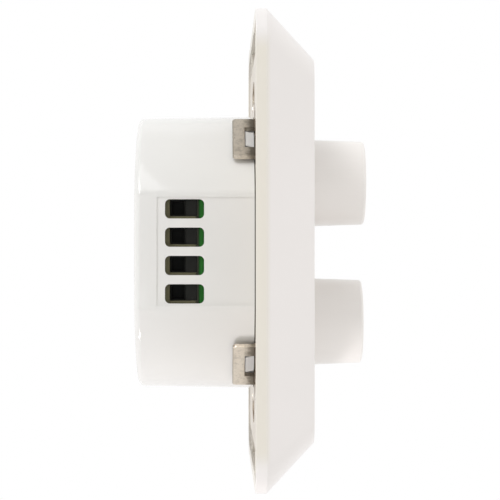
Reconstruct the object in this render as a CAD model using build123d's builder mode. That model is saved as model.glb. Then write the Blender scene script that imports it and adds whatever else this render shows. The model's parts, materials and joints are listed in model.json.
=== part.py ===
from build123d import *
import os
from math import acos, cos, degrees, hypot, radians, sin, sqrt, tan

# Double push-and-turn dimmer for a round flush box, in millimetres.
# X is to the right seen from the room, Z is up, and the room lies toward -Y.
# The origin is the centre of the support plate's back. A level is a distance in front of that face.

# Turning controls: shaft, threaded neck, nut and potentiometer stack
KNOB_PITCH = 26.1
SHAFT_RADIUS = 3.0
SHAFT_GAP = 0.05
SHAFT_FLAT = 1.5
NECK_WALL = 0.95
NECK_STAND = 0.2
NUT_LAND = 1.5
NUT_THICK = 2.2
NUT_EDGE = 0.3
WASHER_THICK = 0.5
NUT_SEAT_DEPTH = 1.0
NUT_SEAT_ROOM = 0.45
PUSH_TRAVEL = 0.8
LATCH_DEPTH = 0.5
TURN_HALF_ANGLE = 140.0
CASE_WALL = 1.1
CASE_FRONT_WALL = 1.0
CASE_EDGE = 0.5
POCKET_RADIUS = 6.9
STOP_REACH = 1.0
STOP_GAP = 0.3
STOP_SLACK_ANGLE = 2.0
LUG_ANGLE = 20.0
COLLAR_LIP = 0.8
COLLAR_THICK = 0.6
FACE_GAP = 0.05
RUN_GAP = 0.15
ROTOR_THICK = 1.4
TAIL_STEP = 0.7
TAIL_FLAT = 0.6
TAIL_REACH = 0.3
WAFER_THICK = 0.8
WAFER_FIT = 0.1
WAFER_LEDGE = 0.6
SWITCH_THICK = 3.25
PLUNGER_LIP = 0.6
PLUNGER_LENGTH = 2.0
PLUNGER_GAP = 0.2
SPRING_WIRE = 0.35
SPRING_TURNS = 4.0
SPRING_LENGTH = 3.65
BORE_WALL = 0.8

# Knobs
KNOB_LENGTH = 9.7
KNOB_WALL = 1.23
KNOB_NUT_ROOM = 0.55
KNOB_DRAFT = 1.9
KNOB_TOP = 1.8
KNOB_EDGE = 0.55
KNOB_CLEARANCE = 0.4
HUB_WALL = 1.6
HUB_FIT = 0.02
KNOB_RIB = 1.0
KNOB_RIB_COUNT = 4
SHAFT_END_GAP = 0.3

# Cover frame and centre plate
FRAME_SIDE = 82.4
FRAME_DEPTH = 9.9
FRAME_RIM = 1.6
FRAME_LAP = 0.3
FRAME_CORNER = 6.0
FRAME_FRONT_CORNER = 4.0
FRAME_WALL = 1.8
FRAME_FRONT_WALL = 2.0
FRAME_EDGE = 0.35
BEVEL_INSET = 8.05
FACE_BORDER = 5.65
LOCATING_RIB = 1.2
LOCATING_RIB_HEIGHT = 2.2
LOCATING_RIB_SPREAD = 36.0
LOCATING_GAP = 0.2
CENTRE_GAP = 0.25
CENTRE_CORNER = 1.5
CENTRE_EDGE = 0.4
FLANGE_LAP = 1.5
FLANGE_WIDTH = 3.0
FLANGE_THICK = 1.2
BOSS_WALL = 2.0
BOSS_GAP = 0.2
BOSS_RIB = 1.2

# Support plate with bent snap tabs
PLATE_THICK = 0.8
PLATE_MARGIN = 3.9
PLATE_CORNER = 5.0
SCREW_SPACING = 60.0
SCREW_SLOT_WIDTH = 4.2
SCREW_SLOT_LENGTH = 7.0
ARC_SLOT_HALF_ANGLE = 16.0
TAB_ANGLE = 51.4
TAB_WIDTH = 11.6
TAB_LENGTH = 4.05
TAB_BAR = 2.2
TAB_CORNER = 0.7
TAB_WINDOW = 6.2
TAB_BEND = 0.3
TAB_GAP = 0.1
TAB_RELIEF = 0.6
TAB_ROOT = 1.0

# Housing
HOUSING_WALL = 1.7
HOUSING_DRAFT = 1.0
HOUSING_EDGE = 1.2
HOUSING_LEAD = 0.2
CASE_ROOM = 1.29
COMPONENT_ROOM = 9.7
HOOK_WIDTH = 4.4
HOOK_SINK = 0.35
HOOK_LAND = 0.3
HOOK_GAP = 0.15
HOOK_ROOT = 0.8
BOARD_RIB = 1.4
BOARD_LEDGE = 1.6
BOARD_RIB_ANGLES = (0, 72, 108, 252, 288)

# Circuit board, terminals and components
SHEET_THICK = 0.3
SHEET_GAP = 0.4
BOARD_THICK = 1.6
BOARD_GAP = 0.3
ENTRY_COUNT = 4
ENTRY_PITCH = 5.0
ENTRY_LENGTH = 6.9
ENTRY_HEIGHT = 3.4
ENTRY_CORNER = 0.85
ENTRY_LEAD = 1.0
PANEL_DEPTH = 0.15
PANEL_SIDE = 0.4
PANEL_BACK = 1.45
BLOCK_GAP = 0.3
BLOCK_DEPTH = 9.0
BLOCK_WALL = 0.45
BLOCK_BACK = 1.9
CAVITY_LENGTH = 4.9
CAVITY_DEPTH = 6.5
CAVITY_SILL = 0.46
CAVITY_HEADROOM = 0.06
CLAMP_FIT = 0.05
CLAMP_STEP = 2.0
CLAMP_RECESS = 1.4
CLAMP_LIP = 0.25
CLAMP_MOUTH = 5.2
TRANSISTOR_WIDTH = 10.0
TRANSISTOR_BODY = 9.0
TRANSISTOR_TAB = 6.0
TRANSISTOR_THICK = 4.4
TRANSISTOR_TAB_THICK = 1.3
TRANSISTOR_HOLE = 1.8
TRANSISTOR_LEG = 0.8
TRANSISTOR_LEG_PITCH = 2.54
TRANSISTOR_LEG_DROP = 2.6
TRANSISTOR_ROOM = 1.5
CHOKE_RADIUS = 6.0
CHOKE_HOLE = 3.4
CHOKE_THICK = 5.0
CHOKE_WINDING = 0.6
CHOKE_GAP_ANGLE = 30.0
CHOKE_ANGLE = 40.0
CHOKE_ROOM = 1.9
COMPONENT_GAP = 0.6
FILM_LENGTH = 13.0
FILM_WIDTH = 5.0
FILM_HEIGHT = 8.4
CAN_RADIUS = 3.2
CAN_HEIGHT = 8.0
CAN_EDGE = 0.5
FUSE_LENGTH = 7.4
FUSE_WIDTH = 3.6
FUSE_HEIGHT = 6.5
CHIP_LENGTH = 5.0
CHIP_WIDTH = 4.0
CHIP_HEIGHT = 1.5
COMPONENT_EDGE = 0.4

# Levels of the front
front_side = FRAME_SIDE - 2 * BEVEL_INSET
centre_side = front_side - 2 * FACE_BORDER
centre_back = FRAME_DEPTH - FRAME_FRONT_WALL
nut_seat = FRAME_DEPTH - NUT_SEAT_DEPTH
nut_back = nut_seat + WASHER_THICK
neck_top = nut_back + NUT_THICK + NECK_STAND
hub_level = neck_top + PUSH_TRAVEL + KNOB_CLEARANCE
knob_level = FRAME_DEPTH + PUSH_TRAVEL + KNOB_CLEARANCE
knob_ceiling = knob_level + KNOB_LENGTH - KNOB_TOP
shaft_top = knob_ceiling - SHAFT_END_GAP

# Levels behind the support plate, down the potentiometer to the circuit board
sheet_back = -SHEET_THICK
case_inner = sheet_back - CASE_FRONT_WALL
collar_front = case_inner - FACE_GAP
collar_back = collar_front - COLLAR_THICK
rotor_front = collar_back - PUSH_TRAVEL - RUN_GAP
rotor_back = rotor_front - ROTOR_THICK
wafer_front = rotor_back - RUN_GAP
wafer_back = wafer_front - WAFER_THICK
tail_end = wafer_back - TAIL_REACH
plunger_back = tail_end - PLUNGER_LENGTH
bore_floor = plunger_back - SPRING_LENGTH
board_front = wafer_back - SWITCH_THICK
board_back = board_front - BOARD_THICK
housing_floor = board_back - COMPONENT_ROOM
housing_back = housing_floor - HOUSING_WALL

# Radii and sides of the controls
neck_radius = SHAFT_RADIUS + SHAFT_GAP + NECK_WALL
nut_flats = 2 * (neck_radius + NUT_LAND)
nut_corner = nut_flats / 2 / cos(radians(30))
knob_hollow = nut_corner + KNOB_NUT_ROOM
knob_radius = knob_hollow + KNOB_WALL
hub_radius = SHAFT_RADIUS + HUB_WALL
boss_bore = neck_radius + BOSS_GAP
boss_radius = boss_bore + BOSS_WALL
case_side = 2 * (POCKET_RADIUS + CASE_WALL)
lug_radius = POCKET_RADIUS - STOP_GAP
rotor_radius = POCKET_RADIUS - STOP_REACH - STOP_GAP
tail_radius = SHAFT_RADIUS - TAIL_STEP
tail_flat = tail_radius - TAIL_FLAT
tail_hole = tail_radius + STOP_GAP
plunger_radius = tail_hole + PLUNGER_LIP
bore_radius = plunger_radius + PLUNGER_GAP
bore_boss = bore_radius + BORE_WALL
wafer_side = 2 * (POCKET_RADIUS - WAFER_LEDGE)
stop_half_angle = 180 - TURN_HALF_ANGLE - LUG_ANGLE / 2 - STOP_SLACK_ANGLE

# Radii of the housing, support plate and board
plate_side = FRAME_SIDE - 2 * (FRAME_WALL + PLATE_MARGIN)
channel_height = KNOB_PITCH / 2
housing_radius = hypot(case_side / 2, channel_height + case_side / 2) + CASE_ROOM + HOUSING_WALL
flat_width = ENTRY_COUNT * ENTRY_PITCH
flat_distance = sqrt(housing_radius**2 - (flat_width / 2) ** 2)
draft_slope = tan(radians(HOUSING_DRAFT))
tab_inner = housing_radius + TAB_GAP
tab_outer = tab_inner + PLATE_THICK
bend_start = tab_outer - TAB_BEND - PLATE_THICK
board_inset = HOUSING_WALL - board_back * draft_slope
board_radius = housing_radius - board_inset - BOARD_GAP
board_edge = flat_distance - board_inset - BOARD_GAP
floor_inset = HOUSING_WALL - housing_floor * draft_slope
entry_level = board_back + ENTRY_LEAD - ENTRY_LENGTH / 2
block_face = board_edge - BLOCK_GAP
cavity_level = board_back - BLOCK_WALL / 2
cavity_height = ENTRY_HEIGHT - CAVITY_SILL + CAVITY_HEADROOM
cavity_shift = (CAVITY_SILL + CAVITY_HEADROOM) / 2
block_length = (ENTRY_COUNT - 1) * ENTRY_PITCH + cavity_height + 2 * BLOCK_WALL
block_height = CAVITY_LENGTH + BLOCK_BACK

CHANNELS = {"upper": (channel_height, 0.0), "lower": (-channel_height, LATCH_DEPTH)}
CHANNEL_POINTS = [(0, height) for height, _ in CHANNELS.values()]
TAB_DIRECTIONS = (TAB_ANGLE, 180 - TAB_ANGLE, 180 + TAB_ANGLE, -TAB_ANGLE)


def level(height):
    """Plane parallel to the wall, at the given distance in front of the support plate's back."""
    return Plane.XZ.offset(height)


def on_axis(channel, height):
    """Plane like level(), centred on the axis of a turning control."""
    return Plane(origin=(0, -height, channel), x_dir=(1, 0, 0), z_dir=(0, -1, 0))


def radial(angle):
    """Upright plane through the axis of the box: local x runs outward, local y to the room."""
    outward = (cos(radians(angle)), 0, sin(radians(angle)))
    across = (-sin(radians(angle)), 0, cos(radians(angle)))
    return Plane(origin=(0, 0, 0), x_dir=outward, z_dir=tuple(-value for value in across))


def write(piece, name):
    """Label one finished piece and write it to its file."""
    piece.part.label = name
    export_step(piece.part, f"parts/{name}.step")


def d_section(radius, flat, mode=Mode.ADD):
    """Round section with one flat, at the given distance from the axis."""
    half_angle = degrees(acos(flat / radius))
    with BuildLine() as outline:
        arc = CenterArc((0, 0), radius, half_angle, 360 - 2 * half_angle)
        Line(arc @ 1, arc @ 0)
    make_face(outline.edges(), mode=mode)


def sector(radius, middle, half_angle):
    """Pie slice of a disc, for angular stops and lugs."""
    with BuildLine() as outline:
        arc = CenterArc((0, 0), radius, middle - half_angle, 2 * half_angle)
        Line((0, 0), arc @ 0)
        Line(arc @ 1, (0, 0))
    make_face(outline.edges())


def housing_outline(inset):
    """Round outline of the housing with its terminal flat, drawn in by an inset."""
    Circle(housing_radius - inset)
    with Locations((-flat_distance + inset - housing_radius, 0)):
        Rectangle(2 * housing_radius, 2 * housing_radius, mode=Mode.SUBTRACT)


os.makedirs("parts", exist_ok=True)

# Cover frame: a hollow bevelled square with a window for the centre plate
bevel_slope = BEVEL_INSET / (FRAME_DEPTH - FRAME_RIM)
bevel_wall = FRAME_WALL * hypot(1, bevel_slope)
inner_rim = FRAME_RIM - (bevel_wall - FRAME_WALL) / bevel_slope
inner_side = FRAME_SIDE - 2 * FRAME_WALL
inner_front_side = inner_side - 2 * bevel_slope * (centre_back - inner_rim)
rib_start = plate_side / 2 + LOCATING_GAP
rib_reach = inner_side / 2 + FRAME_WALL / 2 - rib_start
with BuildPart() as cover_frame:
    with BuildSketch(level(-FRAME_LAP)):
        RectangleRounded(FRAME_SIDE, FRAME_SIDE, FRAME_CORNER)
    extrude(amount=FRAME_LAP + FRAME_RIM)
    with BuildSketch(level(FRAME_RIM)):
        RectangleRounded(FRAME_SIDE, FRAME_SIDE, FRAME_CORNER)
    with BuildSketch(level(FRAME_DEPTH)):
        RectangleRounded(front_side, front_side, FRAME_FRONT_CORNER)
    loft(ruled=True)
    fillet(cover_frame.faces().sort_by(Axis.Y)[0].outer_wire().edges(), FRAME_EDGE)
    with BuildSketch(level(-FRAME_LAP)):
        RectangleRounded(inner_side, inner_side, FRAME_CORNER - FRAME_WALL)
    extrude(amount=FRAME_LAP + inner_rim, mode=Mode.SUBTRACT)
    with BuildSketch(level(inner_rim)):
        RectangleRounded(inner_side, inner_side, FRAME_CORNER - FRAME_WALL)
    with BuildSketch(level(centre_back)):
        RectangleRounded(inner_front_side, inner_front_side, FRAME_FRONT_CORNER - FRAME_WALL)
    loft(ruled=True, mode=Mode.SUBTRACT)
    with BuildSketch(level(centre_back)):
        window_side = centre_side + 2 * CENTRE_GAP
        RectangleRounded(window_side, window_side, CENTRE_CORNER + CENTRE_GAP)
    extrude(amount=FRAME_FRONT_WALL, mode=Mode.SUBTRACT)
    with BuildSketch(level(0)):
        for turn in (0, 90, 180, 270):
            with Locations(Location((0, 0, 0), (0, 0, turn))):
                with Locations((rib_start + rib_reach / 2, 0)):
                    with GridLocations(0, LOCATING_RIB_SPREAD, 1, 2):
                        Rectangle(rib_reach, LOCATING_RIB)
    extrude(amount=LOCATING_RIB_HEIGHT)
write(cover_frame, "cover_frame")

# Centre plate: flush with the frame, with a flange behind its window and two bosses
flange_side = centre_side + 2 * FLANGE_LAP
flange_inner = flange_side - 2 * FLANGE_WIDTH
with BuildPart() as centre_plate:
    with BuildSketch(level(centre_back)):
        RectangleRounded(centre_side, centre_side, CENTRE_CORNER)
    extrude(amount=FRAME_FRONT_WALL)
    fillet(centre_plate.faces().sort_by(Axis.Y)[0].outer_wire().edges(), CENTRE_EDGE)
    with BuildSketch(level(centre_back)):
        RectangleRounded(flange_side, flange_side, CENTRE_CORNER)
        RectangleRounded(flange_inner, flange_inner, CENTRE_CORNER, mode=Mode.SUBTRACT)
        Rectangle(BOSS_RIB, flange_inner)
        with Locations(*CHANNEL_POINTS):
            Rectangle(flange_inner, BOSS_RIB)
    extrude(amount=-FLANGE_THICK)
    with BuildSketch(level(PLATE_THICK)):
        with Locations(*CHANNEL_POINTS):
            Circle(boss_radius)
    extrude(amount=centre_back - PLATE_THICK)
    with BuildSketch(level(FRAME_DEPTH)):
        with Locations(*CHANNEL_POINTS):
            Circle(nut_corner + NUT_SEAT_ROOM)
    extrude(amount=-NUT_SEAT_DEPTH, mode=Mode.SUBTRACT)
    with BuildSketch(level(PLATE_THICK)):
        with Locations(*CHANNEL_POINTS):
            Circle(boss_bore)
    extrude(amount=FRAME_DEPTH - PLATE_THICK, mode=Mode.SUBTRACT)
write(centre_plate, "centre_plate")

# Support plate: a steel square with screw slots and four tabs bent back over the housing
tab_cut = tab_outer + TAB_LENGTH - bend_start
window_length = TAB_LENGTH - TAB_BAR + PLATE_THICK
with BuildPart() as support_plate:
    with BuildSketch(level(0)):
        RectangleRounded(plate_side, plate_side, PLATE_CORNER)
        with Locations(*CHANNEL_POINTS):
            Circle(boss_bore, mode=Mode.SUBTRACT)
        with GridLocations(SCREW_SPACING, 0, 2, 1):
            SlotOverall(SCREW_SLOT_LENGTH, SCREW_SLOT_WIDTH, mode=Mode.SUBTRACT)
        for middle in (90, 270):
            start = middle - ARC_SLOT_HALF_ANGLE
            path = CenterArc((0, 0), SCREW_SPACING / 2, start, 2 * ARC_SLOT_HALF_ANGLE, mode=Mode.PRIVATE)
            SlotArc(path, SCREW_SLOT_WIDTH, mode=Mode.SUBTRACT)
        for angle in TAB_DIRECTIONS:
            with Locations(Location((0, 0, 0), (0, 0, angle))):
                with Locations((bend_start + tab_cut / 2, 0)):
                    Rectangle(tab_cut, TAB_WIDTH + 2 * TAB_RELIEF, mode=Mode.SUBTRACT)
    extrude(amount=PLATE_THICK)
    for angle in TAB_DIRECTIONS:
        with BuildSketch(radial(angle)):
            with BuildLine():
                Line((bend_start - TAB_ROOT, 0), (bend_start - TAB_ROOT, PLATE_THICK))
                Line((bend_start - TAB_ROOT, PLATE_THICK), (bend_start, PLATE_THICK))
                CenterArc((bend_start, -TAB_BEND), TAB_BEND + PLATE_THICK, 0, 90)
                Line((tab_outer, -TAB_BEND), (tab_outer, -TAB_LENGTH))
                Line((tab_outer, -TAB_LENGTH), (tab_inner, -TAB_LENGTH))
                Line((tab_inner, -TAB_LENGTH), (tab_inner, -TAB_BEND))
                CenterArc((bend_start, -TAB_BEND), TAB_BEND, 0, 90)
                Line((bend_start, 0), (bend_start - TAB_ROOT, 0))
            make_face()
        extrude(amount=TAB_WIDTH / 2, both=True)
    tab_ends = support_plate.edges().group_by(Axis.Y)[-1]
    fillet(tab_ends.filter_by(lambda edge: edge.length < TAB_WIDTH / 2), TAB_CORNER)
    for angle in TAB_DIRECTIONS:
        with BuildSketch(radial(angle)):
            with Locations(((tab_inner + tab_outer) / 2, PLATE_THICK - window_length / 2)):
                Rectangle(2 * PLATE_THICK, window_length)
        extrude(amount=TAB_WINDOW / 2, both=True, mode=Mode.SUBTRACT)
write(support_plate, "support_plate")

# Housing: a drafted cup with snap hooks, a sunk panel of terminal openings and a ledge for the board
hook_latch = -(TAB_LENGTH - TAB_BAR) + HOOK_GAP
hook_top = tab_outer - HOOK_SINK
hook_root = housing_radius - HOOK_ROOT
panel_floor = flat_distance - PANEL_DEPTH
panel_back = entry_level - ENTRY_LENGTH / 2 - PANEL_BACK
panel_height = (ENTRY_COUNT - 1) * ENTRY_PITCH + ENTRY_HEIGHT + 2 * PANEL_SIDE
rib_inner = board_radius - BOARD_LEDGE
rib_outer = housing_radius - HOUSING_WALL / 2 + housing_floor * draft_slope
with BuildPart() as housing:
    with BuildSketch(level(0)):
        housing_outline(0)
    extrude(amount=housing_back, taper=HOUSING_DRAFT)
    fillet(housing.faces().sort_by(Axis.Y)[-1].edges(), HOUSING_EDGE)
    chamfer(housing.faces().sort_by(Axis.Y)[0].edges(), HOUSING_LEAD)
    with BuildSketch(level(0)):
        housing_outline(HOUSING_WALL)
    extrude(amount=housing_floor, taper=HOUSING_DRAFT, mode=Mode.SUBTRACT)
    with BuildSketch(level(housing_floor)):
        for angle in BOARD_RIB_ANGLES:
            with Locations(Location((0, 0, 0), (0, 0, angle))):
                with Locations(((rib_inner + rib_outer) / 2, 0)):
                    Rectangle(rib_outer - rib_inner, BOARD_RIB)
    extrude(amount=board_back - housing_floor)
    with BuildSketch(radial(180)):
        with BuildLine():
            Polyline(
                (panel_floor, 0),
                (panel_floor + panel_back * draft_slope, panel_back),
                (housing_radius, panel_back),
                (housing_radius, 0),
                close=True,
            )
        make_face()
    extrude(amount=panel_height / 2, both=True, mode=Mode.SUBTRACT)
    entry_plane = Plane(origin=(-housing_radius, -entry_level, 0), x_dir=(0, -1, 0), z_dir=(-1, 0, 0))
    with BuildSketch(entry_plane):
        with GridLocations(0, ENTRY_PITCH, 1, ENTRY_COUNT):
            RectangleRounded(ENTRY_LENGTH, ENTRY_HEIGHT, ENTRY_CORNER)
    extrude(amount=-(housing_radius - board_edge), mode=Mode.SUBTRACT)
    for angle in TAB_DIRECTIONS:
        with BuildSketch(radial(angle)):
            with BuildLine():
                Polyline(
                    (hook_root, hook_latch),
                    (hook_top, hook_latch),
                    (hook_top, hook_latch + HOOK_LAND),
                    (tab_inner, -FACE_GAP),
                    (hook_root, -FACE_GAP),
                    close=True,
                )
            make_face()
        extrude(amount=HOOK_WIDTH / 2, both=True)
write(housing, "housing")

# Insulating sheet between the steel plate and the live parts
with BuildPart() as insulating_sheet:
    with BuildSketch(level(0)):
        housing_outline(HOUSING_WALL + SHEET_GAP)
        with Locations(*CHANNEL_POINTS):
            Circle(boss_bore, mode=Mode.SUBTRACT)
    extrude(amount=sheet_back)
write(insulating_sheet, "insulating_sheet")

# Circuit board on the housing's ledge, cleared for the two switch bores
with BuildPart() as circuit_board:
    with BuildSketch(level(board_back)):
        Circle(board_radius)
        with Locations((-board_edge - board_radius, 0)):
            Rectangle(2 * board_radius, 2 * board_radius, mode=Mode.SUBTRACT)
        with Locations(*CHANNEL_POINTS):
            Circle(bore_boss + BOARD_GAP, mode=Mode.SUBTRACT)
    extrude(amount=BOARD_THICK)
write(circuit_board, "circuit_board")

# Terminal block behind the openings, with one stepped clamp in each cavity
cavity_plane = Plane(
    origin=(-block_face, -(cavity_level - CAVITY_LENGTH / 2), cavity_shift),
    x_dir=(0, -1, 0),
    z_dir=(-1, 0, 0),
)
with BuildPart() as terminal_block:
    with BuildSketch(level(board_back)):
        with Locations((-block_face + BLOCK_DEPTH / 2, cavity_shift)):
            Rectangle(BLOCK_DEPTH, block_length)
    extrude(amount=-block_height)
    with BuildSketch(cavity_plane):
        with GridLocations(0, ENTRY_PITCH, 1, ENTRY_COUNT):
            Rectangle(CAVITY_LENGTH, cavity_height)
    extrude(amount=-CAVITY_DEPTH, mode=Mode.SUBTRACT)
write(terminal_block, "terminal_block")

clamp_length = CAVITY_LENGTH - 2 * CLAMP_FIT
clamp_height = cavity_height - 2 * CLAMP_FIT
mouth_length = clamp_length - CLAMP_STEP
with BuildPart() as wire_clamps:
    with BuildSketch(cavity_plane):
        with GridLocations(0, ENTRY_PITCH, 1, ENTRY_COUNT):
            Rectangle(clamp_length, clamp_height)
    extrude(amount=-CAVITY_DEPTH)
    with BuildSketch(cavity_plane):
        with Locations((-CLAMP_STEP / 2, 0)):
            with GridLocations(0, ENTRY_PITCH, 1, ENTRY_COUNT):
                Rectangle(mouth_length, clamp_height)
    extrude(amount=-CLAMP_RECESS, mode=Mode.SUBTRACT)
    with BuildSketch(cavity_plane):
        with Locations((-CLAMP_STEP / 2, 0)):
            with GridLocations(0, ENTRY_PITCH, 1, ENTRY_COUNT):
                Rectangle(mouth_length - 2 * CLAMP_LIP, clamp_height - 2 * CLAMP_LIP)
    extrude(amount=-CLAMP_MOUTH, mode=Mode.SUBTRACT)
write(wire_clamps, "wire_clamps")

# Power transistors, flat against the insulating sheet so that the steel plate cools them
transistor_middle = case_side / 2 + TRANSISTOR_ROOM + TRANSISTOR_WIDTH / 2
leg_level = sheet_back - TRANSISTOR_LEG_DROP
for side, direction in (("left", -1), ("right", 1)):
    with BuildPart() as transistor:
        with BuildSketch(level(sheet_back)):
            with Locations((direction * transistor_middle, 0)):
                Rectangle(TRANSISTOR_WIDTH, TRANSISTOR_BODY)
        extrude(amount=-TRANSISTOR_THICK)
        with BuildSketch(level(sheet_back)):
            with Locations((direction * transistor_middle, (TRANSISTOR_BODY + TRANSISTOR_TAB) / 2)):
                Rectangle(TRANSISTOR_WIDTH, TRANSISTOR_TAB)
                Circle(TRANSISTOR_HOLE, mode=Mode.SUBTRACT)
        extrude(amount=-TRANSISTOR_TAB_THICK)
        leg_plane = Plane(origin=(direction * transistor_middle, 0, 0), x_dir=(0, 0, 1), z_dir=(1, 0, 0))
        for place in (-TRANSISTOR_LEG_PITCH, 0, TRANSISTOR_LEG_PITCH):
            with BuildSketch(leg_plane.offset(place)):
                with BuildLine():
                    foot = -TRANSISTOR_BODY / 2 - 2 * TRANSISTOR_LEG
                    Polyline(
                        (-TRANSISTOR_BODY / 2, leg_level),
                        (foot, leg_level),
                        (foot, board_front),
                        (foot + TRANSISTOR_LEG, board_front),
                        (foot + TRANSISTOR_LEG, leg_level - TRANSISTOR_LEG),
                        (-TRANSISTOR_BODY / 2, leg_level - TRANSISTOR_LEG),
                        close=True,
                    )
                make_face()
            extrude(amount=TRANSISTOR_LEG / 2, both=True)
    write(transistor, f"{side}_transistor")

# Suppression chokes on the back of the board: ring cores with a wound layer
choke_outer = CHOKE_RADIUS + CHOKE_WINDING
choke_distance = housing_radius - floor_inset - CHOKE_ROOM - choke_outer
choke_middle = board_back - CHOKE_WINDING - CHOKE_THICK / 2
choke_x = choke_distance * cos(radians(CHOKE_ANGLE))
choke_z = choke_distance * sin(radians(CHOKE_ANGLE))
for channel, direction in (("upper", 1), ("lower", -1)):
    choke_axis = Axis((choke_x, 0, direction * choke_z), (0, 1, 0))
    section = Plane(origin=(choke_x, 0, direction * choke_z), x_dir=(1, 0, 0), z_dir=(0, 0, 1))
    core_middle = ((CHOKE_HOLE + CHOKE_RADIUS) / 2, -choke_middle)
    with BuildPart() as choke_core:
        with BuildSketch(section):
            with Locations(core_middle):
                Rectangle(CHOKE_RADIUS - CHOKE_HOLE, CHOKE_THICK)
        revolve(axis=choke_axis)
    write(choke_core, f"{channel}_choke_core")
    with BuildPart() as choke_winding:
        with BuildSketch(section):
            with Locations(core_middle):
                width = CHOKE_RADIUS - CHOKE_HOLE
                Rectangle(width + 2 * CHOKE_WINDING, CHOKE_THICK + 2 * CHOKE_WINDING)
                Rectangle(width, CHOKE_THICK, mode=Mode.SUBTRACT)
        revolve(axis=choke_axis, revolution_arc=360 - CHOKE_GAP_ANGLE)
    write(choke_winding, f"{channel}_choke_winding")

# Remaining components, each seated on the board
film_middle = -block_face + BLOCK_DEPTH + COMPONENT_GAP + FILM_WIDTH / 2
with BuildPart() as film_capacitor:
    with BuildSketch(level(board_back)):
        with Locations((film_middle, 0)):
            Rectangle(FILM_WIDTH, FILM_LENGTH)
    extrude(amount=-FILM_HEIGHT)
    fillet(film_capacitor.faces().sort_by(Axis.Y)[-1].edges(), COMPONENT_EDGE)
write(film_capacitor, "film_capacitor")

can_middle = film_middle + FILM_WIDTH / 2 + COMPONENT_GAP + CAN_RADIUS
with BuildPart() as supply_capacitor:
    with BuildSketch(level(board_back)):
        with Locations((can_middle, 0)):
            Circle(CAN_RADIUS)
    extrude(amount=-CAN_HEIGHT)
    fillet(supply_capacitor.faces().sort_by(Axis.Y)[-1].edges(), CAN_EDGE)
write(supply_capacitor, "supply_capacitor")

fuse_middle = rib_inner - COMPONENT_GAP - FUSE_WIDTH / 2
with BuildPart() as fuse:
    with BuildSketch(level(board_back)):
        with Locations((fuse_middle, 0)):
            Rectangle(FUSE_WIDTH, FUSE_LENGTH)
    extrude(amount=-FUSE_HEIGHT)
    fillet(fuse.faces().sort_by(Axis.Y)[-1].edges(), COMPONENT_EDGE)
write(fuse, "fuse")

with BuildPart() as controller_chip:
    with BuildSketch(level(board_front)):
        Rectangle(CHIP_LENGTH, CHIP_WIDTH)
    extrude(amount=CHIP_HEIGHT)
write(controller_chip, "controller_chip")

# Nuts and washers that clamp the centre plate on the threaded necks
with BuildPart() as shaft_nuts:
    with BuildSketch(level(nut_back)):
        with Locations(*CHANNEL_POINTS):
            RegularPolygon(nut_flats / 2, 6, major_radius=False)
            Circle(neck_radius + FACE_GAP, mode=Mode.SUBTRACT)
    extrude(amount=NUT_THICK)
    chamfer(shaft_nuts.edges().group_by(Axis.Y)[0].filter_by(GeomType.LINE), NUT_EDGE)
write(shaft_nuts, "shaft_nuts")

with BuildPart() as lock_washers:
    with BuildSketch(level(nut_seat)):
        with Locations(*CHANNEL_POINTS):
            Circle(nut_corner)
            Circle(neck_radius + FACE_GAP, mode=Mode.SUBTRACT)
    extrude(amount=WASHER_THICK)
write(lock_washers, "lock_washers")

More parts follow.
